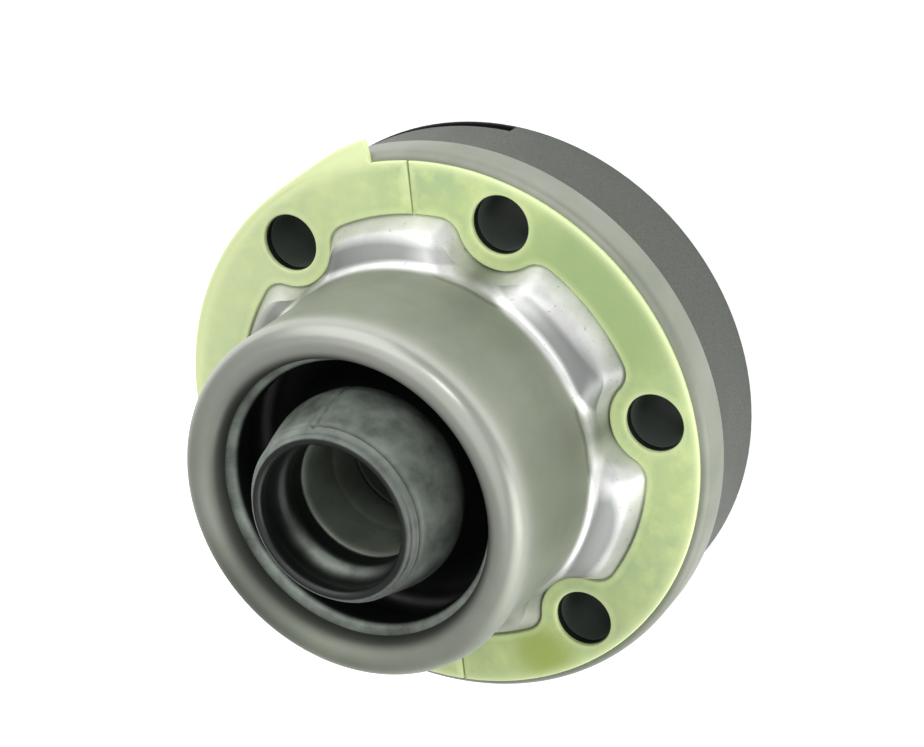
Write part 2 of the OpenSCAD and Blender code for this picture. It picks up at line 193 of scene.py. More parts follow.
def grid_faces(rows, columns, ring=False):
    """Quads over a grid whose columns run round, and whose rows do too when it is a ring."""
    i, j = np.meshgrid(np.arange(rows if ring else rows - 1), np.arange(columns), indexing="ij")
    here, there = i * columns, (i + 1) % rows * columns
    along = (j + 1) % columns
    return np.stack([here + j, here + along, there + along, there + j], axis=-1).reshape(-1, 4)


def turned(radius, height, turn):
    """Points of a grid from each row's radius at each angle and its height."""
    radius, height = np.broadcast_arrays(radius, height)
    return np.stack([radius * np.cos(turn), radius * np.sin(turn), height], axis=-1).reshape(-1, 3)


def lathe(profile, columns=240):
    """A closed profile turned round the axis."""
    turn = np.linspace(0, 2 * math.pi, columns, endpoint=False)
    radius = np.repeat(profile[:, :1], columns, axis=1)
    return turned(radius, profile[:, 1:], turn), grid_faces(len(profile), columns, ring=True)


def inside(points, loops):
    """Which flat points lie inside an odd number of closed loops."""
    odd = np.zeros(len(points), bool)
    x, y = points.T
    for loop in loops:
        for (x1, y1), (x2, y2) in zip(loop, np.roll(loop, -1, axis=0)):
            if y1 != y2:
                odd ^= ((y1 > y) != (y2 > y)) & (x < (x2 - x1) * (y - y1) / (y2 - y1) + x1)
    return odd


def edge_distance(points, loops):
    """Distance of each flat point from the nearest loop."""
    nearest = np.full(len(points), np.inf)
    for loop in loops:
        for a, b in zip(loop, np.roll(loop, -1, axis=0)):
            along = b - a
            share = np.clip((points - a) @ along / max(along @ along, 1e-12), 0, 1)
            nearest = np.minimum(nearest, np.linalg.norm(points - a - share[:, None] * along, axis=1))
    return nearest


def fill(loops, loose=()):
    """Triangles that fill the space between flat closed loops, through loose points too."""
    points = np.vstack([*loops, *loose])
    edges, start = [], 0
    for loop in loops:
        edges += [(start + i, start + (i + 1) % len(loop)) for i in range(len(loop))]
        start += len(loop)
    made = delaunay_2d_cdt([Vector(point) for point in points], edges, [], 0, 1e-5)
    faces = np.array([[made[3][corner][0] for corner in face] for face in made[2]])
    return points, faces[inside(points[faces].mean(axis=1), loops)]


def ring_loop(centre, radius, count=64):
    """A round loop."""
    return arc(centre, radius, 0, 360, count)[:-1]


def make_piece(name, parts, material, body):
    """One welded mesh from parts of corners and faces, with its finish, on a body."""
    sharp_angle = math.radians(35)
    weld = 0.002 * MM
    corners, faces, start = [], [], 0
    for part_corners, part_faces in parts:
        corners.append(part_corners)
        faces += (np.asarray(part_faces) + start).tolist()
        start += len(part_corners)
    mesh = bpy.data.meshes.new(name)
    mesh.from_pydata((np.vstack(corners) * MM).tolist(), [], faces)
    shell = bmesh.new()
    shell.from_mesh(mesh)
    bmesh.ops.remove_doubles(shell, verts=shell.verts, dist=weld)
    bmesh.ops.recalc_face_normals(shell, faces=shell.faces)
    shell.to_mesh(mesh)
    shell.free()
    mesh.shade_smooth()
    mesh.set_sharp_from_angle(angle=sharp_angle)
    mesh.materials.append(material)
    piece = bpy.data.objects.new(name, mesh)
    bpy.context.scene.collection.objects.link(piece)
    if body:
        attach(piece, body)
    return piece


def mark_points(piece, name, values):
    """Writes a value for each corner of a piece, worked out from the corners' places."""
    places = np.array([corner.co for corner in piece.data.vertices]) / MM
    marks = piece.data.attributes.new(name, "FLOAT", "POINT")
    marks.data.foreach_set("value", values(places))


# Materials
def linear(colour):
    """An sRGB hex colour as linear values."""
    shares = [int(colour[i : i + 2], 16) / 255 for i in (1, 3, 5)]
    return [s / 12.92 if s <= 0.04045 else ((s + 0.055) / 1.055) ** 2.4 for s in shares] + [1]


def add(tree, kind, inputs=None, **settings):
    """A shader node with its settings, and its inputs as values or links."""
    node = tree.nodes.new("ShaderNode" + kind)
    for name, value in settings.items():
        setattr(node, name, value)
    for name, value in (inputs or {}).items():
        if isinstance(value, bpy.types.NodeSocket):
            tree.links.new(value, node.inputs[name])
        else:
            node.inputs[name].default_value = value
    return node


def mixed(tree, share, under, over):
    """A colour between two, by a share."""
    return add(tree, "Mix", {0: share, 6: under, 7: over}, data_type="RGBA").outputs[2]


def between(tree, share, under, over):
    """A number between two, by a share."""
    return add(tree, "Mix", {0: share, 2: under, 3: over}, data_type="FLOAT").outputs[0]


def ranged(tree, value, start, stop, low=0, high=1, kind="LINEAR"):
    """A value taken from one range to another, and held at its ends."""
    inputs = {"Value": value, "From Min": start, "From Max": stop, "To Min": low, "To Max": high}
    return add(tree, "MapRange", inputs, interpolation_type=kind).outputs["Result"]


def product(tree, a, b):
    """One value times another."""
    return add(tree, "Math", {0: a, 1: b}, operation="MULTIPLY").outputs["Value"]


def noise(tree, place, size, detail, rough=0.5):
    """Cloudy noise of a size in millimetres."""
    inputs = {"Vector": place, "Scale": 1 / (size * MM), "Detail": detail, "Roughness": rough}
    return add(tree, "TexNoise", inputs).outputs["Fac"]


def mark(tree, name):
    """A value that a piece carries at its corners."""
    return add(tree, "Attribute", attribute_name=name).outputs["Fac"]


def spotted(tree, place, tone, spots):
    """A colour with soft round spots: each a middle, its outer and inner reach, a share and a colour."""
    for middle, far, near, share, colour in spots:
        off = add(tree, "VectorMath", {0: place, 1: Vector(middle) * MM}, operation="DISTANCE")
        amount = ranged(tree, off.outputs["Value"], far * MM, near * MM, 0, share, "SMOOTHSTEP")
        tone = mixed(tree, amount, tone, linear(colour))
    return tone


def new_material(name):
    """An empty material, its tree and the place of each point in the joint's frame."""
    material = bpy.data.materials.new(name)
    material.use_nodes = True
    tree = material.node_tree
    tree.nodes.clear()
    place = add(tree, "TexCoord").outputs["Object"]
    return material, tree, place


def finish_material(tree, inputs, relief=None, strength=0):
    """The surface, over a relief 0.02 mm deep where it has one."""
    if relief is not None:
        bump = add(tree, "Bump", {"Height": relief, "Strength": strength, "Distance": 0.02 * MM})
        inputs["Normal"] = bump.outputs["Normal"]
    shader = add(tree, "BsdfPrincipled", inputs)
    add(tree, "OutputMaterial", {"Surface": shader.outputs["BSDF"]})


# Phosphated forging: a fine crystal coat over turned steel, matt and grey-green,
# with a cloudy depth of colour
def phosphated_steel():
    material, tree, place = new_material("phosphated_steel")
    cloud = noise(tree, place, 9, 4, 0.6)
    coat = mixed(tree, ranged(tree, cloud, 0.3, 0.7), linear("#3c413a"), linear("#4c5049"))
    # Crystals of about 0.05 mm, drawn at 0.35 mm so that they show
    crystal = noise(tree, place, 0.35, 2)
    flecked = mixed(tree, ranged(tree, crystal, 0.35, 0.7), coat, linear("#575b53"))
    # Painted shade blackens the slot near the rear face, and a paler tone higher up is painted light in
    # the holes
    split = add(tree, "SeparateXYZ", {"Vector": place})
    height = split.outputs["Z"]
    flat = add(tree, "CombineXYZ", {"X": split.outputs["X"], "Y": split.outputs["Y"]})
    radius = add(tree, "VectorMath", {0: flat.outputs["Vector"]}, operation="LENGTH").outputs["Value"]
    within = ranged(tree, radius, (race_r - 0.1) * MM, (race_r - 0.4) * MM)
    above = ranged(tree, height, 0.3 * MM, 0.7 * MM)
    slot_shade_hole_light = mixed(
        tree, ranged(tree, height, 4 * MM, 5 * MM), linear("#080a08"), linear("#5a655c"),
    )
    finish_material(tree, {
        "Base Color": mixed(tree, product(tree, within, above), flecked, slot_shade_hole_light),
        "Metallic": 0.35,
        "Roughness": ranged(tree, cloud, 0.3, 0.7, 0.5, 0.64),
    }, crystal, 0.25)
    return material


# Deep-drawn steel sheet: grey-green satin with faint draw lines up the neck,
# burnished bright where the press closed on the lobes
def drawn_sheet():
    material, tree, place = new_material("drawn_steel_sheet")
    height = add(tree, "SeparateXYZ", {"Vector": place}).outputs["Z"]
    burnish_and_shade = mark(tree, "burnish_and_shade")
    cloud = noise(tree, place, 16, 5, 0.55)
    satin = mixed(tree, ranged(tree, cloud, 0.35, 0.65), linear("#82887a"), linear("#92958a"))
    # A painted highlight makes the rolled lip lighter on one side, and spots of painted shade darken the
    # neck and the lip's low left
    lip = ranged(tree, height, 54 * MM, 60 * MM, 0, 0.6, "SMOOTHSTEP")
    toward_light = add(tree, "VectorMath", {0: place, 1: (0.5, 0.87, 0)}, operation="DOT_PRODUCT")
    lip_highlight_share = product(tree, lip, ranged(tree, toward_light.outputs["Value"], -30 * MM, 24 * MM))
    lip_highlighted = mixed(tree, lip_highlight_share, satin, linear("#b2b4ad"))
    # Spots of painted shade on the neck's right and low right and on the lip's low left
    shade_spotted = spotted(tree, place, lip_highlighted, (
        ((32, -6, 44), 20, 4, 0.55, "#5c6350"),
        ((-25, -17, 61), 18, 2, 0.8, "#5c6157"),
        ((20, -27, 52), 16, 2, 0.5, "#5f665a"),
    ))
    # The lobes: burnished bright, with painted shade on their tops and spots of painted highlight and
    # painted shade
    streak = noise(tree, place, 5, 4, 0.6)
    bright = mixed(tree, ranged(tree, streak, 0.35, 0.65), linear("#dedfdd"), linear("#efefee"))
    lobes = mixed(tree, mark(tree, "lobe_shading"), bright, linear("#868987"))
    pressed = mixed(tree, burnish_and_shade, shade_spotted, lobes)
    # Painted shade in the bolt holes and round the lip's inner edge
    recess_shaded = mixed(tree, mark(tree, "recess_shade"), pressed, linear("#1f221e"))
    # Specks of dirt and pitting of about a millimetre, on the lobes
    pits = ranged(tree, noise(tree, place, 1.1, 2, 0.7), 0.66, 0.74, 0, 0.5)
    pitted = mixed(tree, product(tree, pits, burnish_and_shade), recess_shaded, linear("#6f726a"))
    # Draw lines run along the neck and hardly vary in height
    stretched = add(tree, "Mapping", {"Vector": place, "Scale": (1, 1, 0.06)})
    lines = noise(tree, stretched.outputs["Vector"], 0.9, 3)
    relief = between(tree, 0.35, lines, noise(tree, place, 0.4, 2))
    finish_material(tree, {
        "Base Color": pitted,
        "Metallic": between(tree, burnish_and_shade, 0.55, 0.6),
        "Roughness": between(tree, burnish_and_shade, ranged(tree, lip_highlight_share, 0.25, 0.5, 0.52, 0.32), 0.42),
    }, relief, 0.2)
    return material


# Release liner: a soft cast film, pale where light comes through its edges,
# with the adhesive's cloudy green showing through the middle
def release_film():
    material, tree, place = new_material("release_film")
    cloud = noise(tree, place, 11, 5, 0.6)
    patch = noise(tree, place, 4, 3, 0.55)
    green = mixed(tree, ranged(tree, cloud, 0.32, 0.68), linear("#c3d491"), linear("#adc391"))
    mottled = mixed(tree, ranged(tree, patch, 0.45, 0.7, 0, 0.9), green, linear("#cbda98"))
    # Painted light on the left and the top, and painted shade on the right, the lower right and beside
    # the lower split
    tone = spotted(tree, place, mottled, (
        ((39.8, 24.1, liner_z), 27, 9, 0.85, "#93a973"),
        ((-38, 26, liner_z), 30, 10, 0.6, "#dde9b6"),
        ((-12, 43, liner_z), 20, 6, 0.35, "#dde9b6"),
        ((32, -38, liner_z), 18, 4, 0.4, "#a9b987"),
        ((12, -44.4, liner_z), 9, 2, 0.85, "#9fb052"),
    ))
    finish_material(tree, {
        "Base Color": mixed(tree, mark(tree, "film_edge"), tone, linear("#e6f2b9")),
        "Roughness": 0.5,
        "IOR": 1.49,
        "Subsurface Weight": 0.15,
        "Subsurface Radius": (0.8 * MM, 1 * MM, 0.5 * MM),
        "Subsurface Scale": 1,
    }, noise(tree, place, 0.5, 2), 0.15)
    return material


# Moulded rubber and fibre: dark with a soft sheen, and a cloudy grey-green painted light where a piece
# marks it
def moulded_rubber(name, dark, bloom_and_light, share, rough):
    material, tree, place = new_material(name)
    cloud = noise(tree, place, 6, 5, 0.62)
    # Painted light in the cloudy grey-green: a painted highlight on the bead and the collar, and painted
    # shade leaves the fold dark
    amount = product(tree, ranged(tree, cloud, 0.3, 0.65, share / 3, share), mark(tree, "painted_light"))
    finish_material(tree, {
        "Base Color": mixed(tree, amount, linear(dark), linear(bloom_and_light)),
        "Roughness": ranged(tree, cloud, 0.3, 0.7, rough - 0.06, rough + 0.08),
        "IOR": 1.52,
    }, noise(tree, place, 0.5, 3), 0.25)
    return material


# Turned and ground steels: rings of fine tool marks round the axis, or a plain oiled polish
def machined_steel(name, colour, oiled, rough, mark_mm, depth, metal=1):
    material, tree, place = new_material(name)
    rings = add(tree, "TexWave", {
        "Vector": place, "Scale": 1 / (20 * mark_mm * MM), "Distortion": 0.6, "Detail": 1,
    }, bands_direction="Z")
    film = ranged(tree, noise(tree, place, 7, 4), 0.35, 0.7)
    finish_material(tree, {
        "Base Color": mixed(tree, film, linear(colour), linear(oiled)),
        "Metallic": metal,
        "Roughness": rough,
    }, rings.outputs["Fac"], depth)
    return material


race_steel = phosphated_steel()
can_steel = drawn_sheet()
film = release_film()
boot_rubber = moulded_rubber("boot_rubber", "#0e1310", "#8e978e", share=0.75, rough=0.4)
seal_rubber = moulded_rubber("seal_rubber", "#1a1c1b", "#2a2d2b", share=0.3, rough=0.45)
gasket_fibre = moulded_rubber("gasket_fibre", "#33352f", "#4a4c45", share=0.6, rough=0.75)
turned_steel = machined_steel(
    "turned_steel", "#747b70", "#5c6358", rough=0.45, mark_mm=0.25, depth=0.3, metal=0.3,
)
ground_steel = machined_steel(
    "ground_oiled_steel", "#9ea297", "#858a7e", rough=0.4, mark_mm=0.12, depth=0.15,
)
ball_steel = machined_steel(
    "polished_ball_steel", "#c5c7c8", "#b0b3b4", rough=0.12, mark_mm=0.12, depth=0.02,
)
zinc_sheet = machined_steel(
    "zinc_plated_sheet", "#b3b6b5", "#a2a6a8", rough=0.36, mark_mm=0.5, depth=0.06,
)

finishes = {
    "outer_race": race_steel,
    "flange_gasket": gasket_fibre,
    "rear_cover": zinc_sheet,
    "cover_seal": seal_rubber,
    "cage": ground_steel,
    "inner_race": ground_steel,
    "sleeve_seal": seal_rubber,
    "shaft_ring": turned_steel,
}
for number in range(1, 7):
    finishes[f"ball_{number}"] = ball_steel
for node, material in finishes.items():
    packed = frame["nodes"][node]
    packed.data.materials.clear()
    packed.data.materials.append(material)


# Outline of the lobes in plan: the radius at each angle, moved in by an inset
def lobed_outline(turn, inset):
    pad = pocket_r + inset
    lobe = lobe_r - inset
    corner = lobe_round - inset
    corner_ring = lobe - corner
    corner_turn = math.acos(
        (corner_ring**2 + bolt_r**2 - (pad + corner) ** 2) / (2 * corner_ring * bolt_r)
    )
    bolt = np.array([bolt_r, 0])
    corner_centre = corner_ring * np.array([math.cos(corner_turn), math.sin(corner_turn)])
    meet = bolt + pad * (corner_centre - bolt) / (pad + corner)
    meet_turn = math.atan2(meet[1], meet[0])
    pitch = math.radians(bolt_pitch)
    off = np.abs((turn + pitch / 2) % pitch - pitch / 2)
    on_pad = bolt_r * np.cos(off) - np.sqrt(np.maximum(pad**2 - (bolt_r * np.sin(off)) ** 2, 0))
    side = off - corner_turn
    on_corner = corner_ring * np.cos(side)
    on_corner = on_corner + np.sqrt(np.maximum(corner**2 - (corner_ring * np.sin(side)) ** 2, 0))
    return np.select([off < meet_turn, off < corner_turn], [on_pad, on_corner], lobe)


# The can's side in section: the lobes' sloping top, the hollow, the neck and the rolled lip
lip_centre = np.array([lip_ring_r, lip_z])
lobe_along = direction(180 - lobe_slope)


def can_section(inset, detail):
    """The section's rows, moved in by an inset. The top runs on outward past the lobes."""
    lip = arc(lip_centre, lip_r, 0, 180, 12 * detail)
    side = curve([*(np.array(NECK) + [0, can_z]), lip[0]], 3 * detail)
    far = side[0] - 20 * lobe_along
    far = far + lobe_along * max(0, (can_z + foot_round - far[1]) / lobe_along[1])
    rows = np.vstack([line(far, side[0], 18 * detail)[:-1], side[:-1], lip])
    along = np.gradient(rows, axis=0)
    along /= np.linalg.norm(along, axis=1)[:, None]
    return rows - inset * np.column_stack([along[:, 1], -along[:, 0]])


can_columns = 480
can_turn = np.linspace(0, 2 * math.pi, can_columns, endpoint=False)


def soft_least(a, b, width):
    """The smaller of two, rounded over a width where they are close."""
    return np.minimum(a, b) - width / 4 * np.clip(1 - np.abs(a - b) / width, 0, 1) ** 2


def evened(radius, share, spread=3.5):
    """A grid of radii, evened out round the axis over a spread in degrees by a share at each row."""
    steps = np.arange(-12, 13)
    weights = hump(steps * 360 / can_columns, spread)
    mean = sum(w * np.roll(radius, s, axis=1) for s, w in zip(steps, weights)) / weights.sum()
    return radius + share * (mean - radius)


def can_wall(inset, detail):
    """Corners and heights of one side of the can's wall, from the flange to the lip's end."""
    section = can_section(inset, detail)
    height = section[:, 1:]
    outline = lobed_outline(can_turn, inset)
    lean = np.interp(outline + inset, *np.array(LEAN).T)
    wall = outline - lean * np.clip(height - can_z - foot_round, 0, lean_height)
    stop = np.interp(height - can_z, *np.array(POCKET_STOP).T) - inset
    wall = -soft_least(-wall, -stop, stop_soft)
    width = np.interp(height - can_z, (5.5, 9.5), (shoulder_soft, pocket_soft))
    radius = soft_least(section[:, :1], wall, width)
    return evened(radius, np.interp(height - can_z, (0.5, 4), (0, 1))), height


def make_can():
    outline = lobed_outline(can_turn, 0)
    outer, outer_z = can_wall(0, 2)
    # The foot turns out onto the flange in a small hollow
    foot = arc((foot_round, can_z + foot_round), foot_round, 270, 180, 4)[:-1]
    foot_r = outline + foot[:, :1]
    support_r = outline + 2 * foot_round
    inner, inner_z = can_wall(can_t, 1)
    under = lobed_outline(can_turn, can_t)
    shell_r = np.vstack([support_r, foot_r, outer, inner[::-1], under])
    shell_z = np.vstack([[[can_z]], foot[:, 1:], outer_z, inner_z[::-1], [[plate_z]]])
    shell = turned(shell_r, shell_z, can_turn), grid_faces(len(shell_r), can_columns)

    # The skirt: a flat rim, the corner, the wall and the hem with its eased edges
    corner = (skirt_r - skirt_round, can_z - skirt_round)
    ease = 0.25
    # Where the skirt's mesh meets the flat flange
    rim_r = liner_r - 1.5
    skirt = np.vstack([
        [[rim_r, can_z]],
        arc(corner, skirt_round, 90, 0, 8),
        arc((skirt_r - ease, can_low[2] + ease), ease, 0, -90, 3),
        arc((skirt_r - can_t + ease, can_low[2] + ease), ease, 270, 180, 3),
        arc(corner, skirt_round - can_t, 0, 90, 4),
        [[rim_r, plate_z]],
    ])
    radius = np.repeat(skirt[:, :1], can_columns, axis=1)
    rim = turned(radius, skirt[:, 1:], can_turn), grid_faces(len(skirt), can_columns)

    parts = [shell, rim]
    holes = [ring_loop(place, hole_r) for place in bolt_places]
    for height, edge in ((can_z, support_r), (plate_z, under)):
        loops = [
            np.column_stack([rim_r * np.cos(can_turn), rim_r * np.sin(can_turn)]),
            np.column_stack([edge * np.cos(can_turn), edge * np.sin(can_turn)]),
            *holes,
        ]
        points, faces = fill(loops)
        parts.append((np.column_stack([points, np.full(len(points), height)]), faces))
    for hole in holes:
        wall = np.vstack([
            np.column_stack([hole, np.full(len(hole), can_z)]),
            np.column_stack([hole, np.full(len(hole), plate_z)]),
        ])
        parts.append((wall, grid_faces(2, len(hole))))
    piece = make_piece("can_shell", parts, can_steel, "housing")

    def off_bolts(place):
        """Angle from the nearest bolt, in degrees."""
        angle = np.degrees(np.arctan2(place[:, 1], place[:, 0]))
        return np.abs((angle + bolt_pitch / 2) % bolt_pitch - bolt_pitch / 2)

    def burnish_and_shade(place):
        """The lobes down to the hollow at the neck's foot, less in the pockets, and less on the low left
        as painted shade.
        """
        radius = radius_of(place)
        below_neck = np.interp(place[:, 2] - can_z, (8.3, 9.4), (1, 0))
        off_neck = np.interp(radius, (33.1, 33.7), (0, 1))
        off_low_left = np.interp(facing(place, 45), (-0.25, 0.15), (0.25, 1))
        off_pockets = np.interp(off_bolts(place), (1, 11), (0.08, 1))
        on_flange = np.interp(radius, (45, 47), (1, 0))
        return below_neck * off_neck * off_low_left * off_pockets * on_flange

    def lobe_shading(place):
        """Painted shade on the lobes' tops, and spots of painted highlight and painted shade on the
        lobes.
        """
        radius = radius_of(place)
        share = np.interp(radius, (34.2, 34.8, 36.6, 38.6), (0, 1, 1, 0)) * (place[:, 2] > can_z + 4)
        for angle, at, spread, more in (
            (47, 37, 5, -0.7), (70, 37, 5, -0.7), (-11, 37, 5, -0.9),
            (14, 39, 6, 0.6), (-32, 39, 9, 0.6), (98, 40, 9, 0.3),
        ):
            off = np.linalg.norm(place[:, :2] - at * direction(angle), axis=1)
            share = share + more * hump(off, spread) * (radius > 34.2)
        return np.clip(share, 0, 1)

    def recess_shade(place):
        """Painted shade in the bolt holes and round the lip's inner edge."""
        nearest = np.min([radius_of(place[:, :2] - bolt) for bolt in bolt_places], axis=0)
        lip_edge = np.interp(radius_of(place), (26.2, 27.6), (0.7, 0)) * (place[:, 2] > lip_z - 1)
        return np.maximum(nearest < hole_r + 0.1, lip_edge)

    mark_points(piece, "burnish_and_shade", burnish_and_shade)
    mark_points(piece, "lobe_shading", lobe_shading)
    mark_points(piece, "recess_shade", recess_shade)
    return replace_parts(piece, "boot_can")


make_can()


# Release liner: two halves of film with holes, soft edges and a line pressed round them
def film_loops(side):
    """The edge of one half, and its holes. Side is 1 on the tab's side of the split."""
    start = math.radians(split_angle if side > 0 else split_angle - 180)
    around = start + np.linspace(0, math.pi, 361)
    gap = split_w / 2
    rim_r = np.full_like(around, liner_r)
    if side > 0:
        square = math.radians(tab_angle)
        around = np.sort(np.append(around, [square - 0.0001, square]))
        shape = curve(TAB, 6)
        past = np.degrees(around) - tab_angle
        rim_r = np.interp(past, *shape.T, left=liner_r)
    rim = rim_r[:, None] * np.column_stack([np.cos(around), np.sin(around)])
    inner_r = lobed_outline(around, -liner_gap)
    inner = inner_r[:, None] * np.column_stack([np.cos(around), np.sin(around)])
    # Both ends move off the split's middle by half its width
    along = direction(math.degrees(start))
    across = np.array([-along[1], along[0]])
    half = []
    for edge in (rim, inner[::-1]):
        depth = edge @ across
        half.append(edge[depth > gap])
    rim, inner = half
    corners = []
    for edge, sign, radius in (
        (rim, 1, liner_r), (inner, -1, lobed_outline(np.array([start]), -liner_gap)[0]),
    ):
        reach_along = math.sqrt(radius**2 - gap**2)
        first = reach_along * along * sign + gap * across
        last = -reach_along * along * sign + gap * across
        corners += [first, *edge, last]
    outline = np.array(corners)
    holes = [ring_loop(place, hole_r + 0.2) for place in bolt_places if place @ across > 0]
    return [outline, *holes]


def offset_rings(loops, steps):
    """Points at set distances inside the edges, so that the film's edge can be rounded."""
    rings = []
    for loop in loops:
        before, after = np.roll(loop, 1, axis=0), np.roll(loop, -1, axis=0)
        along = after - before
        along /= np.linalg.norm(along, axis=1)[:, None]
        square = np.column_stack([-along[:, 1], along[:, 0]])
        for step in steps:
            for sign in (1, -1):
                ring = loop + sign * step * square
                ring = ring[inside(ring, loops)]
                rings.append(ring[edge_distance(ring, loops) > 0.93 * step])
    return rings


def make_film(name, side, lift):
    loops = film_loops(side)
    # Rings of points carry the rounded edge and the pressed line, and a plain grid carries the rest
    line_in = 1.3
    rings = offset_rings(loops, (0.08, 0.18, 0.32, 0.7, 1.0, line_in, 1.6, 1.9))
    grid_from = 2.3
    grid = np.arange(-liner_r - 5, liner_r + 5, 1.3)
    spread = np.stack(np.meshgrid(grid, grid), axis=-1).reshape(-1, 2)
    spread = spread[inside(spread, loops)]
    spread = spread[edge_distance(spread, loops) > grid_from]
    points, faces = fill(loops, [*rings, spread])
    depth = edge_distance(points, loops)
    edge = np.clip(1 - depth / liner_edge, 0, 1)
    rounding = liner_edge * (1 - np.sqrt(np.maximum(1 - edge**2, 0)))
    # A line pressed along the edge, and a slow wave over the film
    pressed = 0.05 * hump(depth - line_in, 0.3)
    wave = 0.03 * np.sin(points[:, 0] / 4.1 + side) * np.sin(points[:, 1] / 5.3)
    top = liner_z - rounding - pressed + wave * np.clip(depth / 2, 0, 1) + lift * np.clip(depth / 3, 0, 1)
    count = len(points)
    edges = np.sort(faces[:, [[0, 1], [1, 2], [2, 0]]].reshape(-1, 2), axis=1)
    edges, uses = np.unique(edges, axis=0, return_counts=True)
    a, b = edges[uses == 1].T
    corners = np.vstack([
        np.column_stack([points, top]),
        np.column_stack([points, np.full(count, can_z)]),
    ])
    parts = [
        (corners, faces),
        (corners, faces + count),
        (corners, np.column_stack([a, b, b + count, a + count])),
    ]
    piece = make_piece(name, parts, film, "housing")

    def paleness(place):
        """Pale along the edges, most of all round the rim, and all over the tab."""
        plan = place[:, :2]
        off_rim = liner_r - radius_of(place)
        off_split = np.abs(plan @ direction(split_angle + 90))
        return np.maximum.reduce([
            0.35 * hump(edge_distance(plan, loops), 0.8) * np.clip(off_split - 0.4, 0, 1),
            0.75 * hump(off_rim, 1.1),
            np.clip(-off_rim / 0.8, 0, 1),
        ])

    mark_points(piece, "film_edge", paleness)
    return piece


left = make_film("liner_tab_half", 1, 0)
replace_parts(left, "liner_left")
right = make_film("liner_plain_half", -1, 0.03)
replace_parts(right, "liner_right")


# Rubber boot: the bead in the lip, the wall inside the neck and the fold's floor
boot_r = lip_ring_r + lip_r - can_t - rubber_gap
fold_z = boot_low
fold_centre = np.array([boot_r - fold_round, fold_z + fold_round])
# The housing's half of the boot ends on the fold's floor, where the web begins
floor_r = 26


def make_boot_wall():
    bead_r = lip_r - can_t - rubber_gap
    bead_in = lip_ring_r - bead_reach + bead_round
    bead_low = lip_z - bead_depth
    bead_high = lip_z - bead_drop
    lip_side = 180 + math.degrees(math.asin(rubber_gap / bead_r))
    profile = np.vstack([
        arc(lip_centre, bead_r, lip_side, 0, 24),
        line((boot_r, lip_z), (boot_r, fold_z + fold_round), 8)[1:-1],
        arc(fold_centre, fold_round, 0, -90, 12),
        [[floor_r, fold_z], [floor_r, fold_z + boot_t]],
        arc(fold_centre, fold_round - boot_t, -90, 0, 12),
        [[boot_r - boot_t, bead_low - bead_round]],
        arc((bead_in, bead_low + bead_round), bead_round, 270, 180, 8),
        arc((bead_in, bead_high - bead_round), bead_round, 180, 90, 8),
    ])
    piece = make_piece("boot_wall", [lathe(profile)], boot_rubber, "housing")

    def bloom_and_light(place):
        """A painted highlight on the top of the bead only."""
        return np.interp(place[:, 2], (bead_high - 0.9, bead_high - 0.3), (0, 1.4))

    mark_points(piece, "painted_light", bloom_and_light)
    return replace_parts(piece, "rubber_boot")


def with_mould_marks(corners):
    """Adds the mould's parting line down the outside and the nub that its gate left in the mouth."""
    radius = radius_of(corners)
    angle = np.degrees(np.arctan2(corners[:, 1], corners[:, 0]))
    height = corners[:, 2]
    outside = np.interp(radius, (15.6, 16), (0, 1)) * np.interp(height, (50, 52), (0, 1))
    off_line = angle - 89 - 0.5 * np.sin(height)
    parting = 0.4 * hump(off_line, 0.9) - 0.15 * hump(off_line - 3, 1.6)
    in_mouth = (radius < mouth_r + 0.5) * hump(height - 64.6, 0.5)
    nub = 0.9 * in_mouth / (1 + np.exp((np.abs(angle - 85) - 6) / 0.6))
    share = 1 - (outside * parting + nub) / radius
    return corners * np.column_stack([share, share, np.ones_like(radius)])


def make_boot_collar():
    rim_z = collar_top
    rim_round = 0.95
    rim_centre = (mouth_r + rim_round, rim_z - rim_round)
    rim_r = mouth_r + 2 * rim_round
    shelf_z = sleeve_top + rubber_gap
    outside = curve([
        (floor_r + 1, fold_z + boot_t), (23.6, fold_z + boot_t), (21.0, 40.6), (19.5, 43.2),
        (18.5, 46.2), (17.9, 49.2), (17.85, 51.4), (18.25, 53.4), (18.2, 55.4), (17.6, 58.2), (16.9, 61),
    ], 5)
    waist = curve([
        (16.7, 61.6), (16.3, 62.9), (15.9, 63.7), (15.8, 64.2), (16.0, 64.7), (rim_r, 65.3),
    ], 4)[:-1]
    mouth = curve([
        (mouth_r, 64.5), (mouth_r + 0.35, 63.2), (mouth_r + 0.45, 61.8), (mouth_r + 0.1, 60.4),
        (12.55, 59.3), (12.3, 58.4), (12.5, 57.4), (12.75, 56.4), (12.6, 55.2), (12.4, shelf_z),
    ], 5)
    seat_foot = (seat_r, 47)
    underside = curve([
        seat_foot, (16.2, 45.4), (17.9, 43.4), (19.4, 40.2), (21.6, 38.2), (23.8, fold_z),
    ], 6)[1:]
    profile = np.vstack([
        outside,
        waist,
        arc(rim_centre, rim_round, 0, 180, 12),
        mouth,
        [(seat_r, shelf_z), seat_foot],
        underside,
        [(floor_r + 1, fold_z)],
    ])
    corners, faces = lathe(profile, 360)
    moulded = [(with_mould_marks(corners), faces)]
    piece = make_piece("boot_collar_and_web", moulded, boot_rubber, None)

    def bloom_and_light(place):
        """Painted light on the outside, most to the upper left, and a painted highlight on the left edge
        and on the step in the mouth.
        """
        height = place[:, 2]
        left_side = np.clip(facing(place, 160), 0, 1) ** 6
        low_side = np.clip(facing(place, -118), 0, 1) ** 6
        outside = np.interp(height, (50.6, 52.6, 63.5, 64.5), (0, 0.92, 0.92, 0.7))
        outside = outside + 0.35 * facing(place, 125) + 0.9 * left_side * hump(height - 61.2, 1.6)
        step = 2 * low_side * hump(height - 59.4, 1.3)
        return np.clip(np.where(radius_of(place) > seat_r, outside, step), 0, 2) * (height > 50.6)

    mark_points(piece, "painted_light", bloom_and_light)
    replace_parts(piece, "boot_collar")
    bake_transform(piece)
    return piece
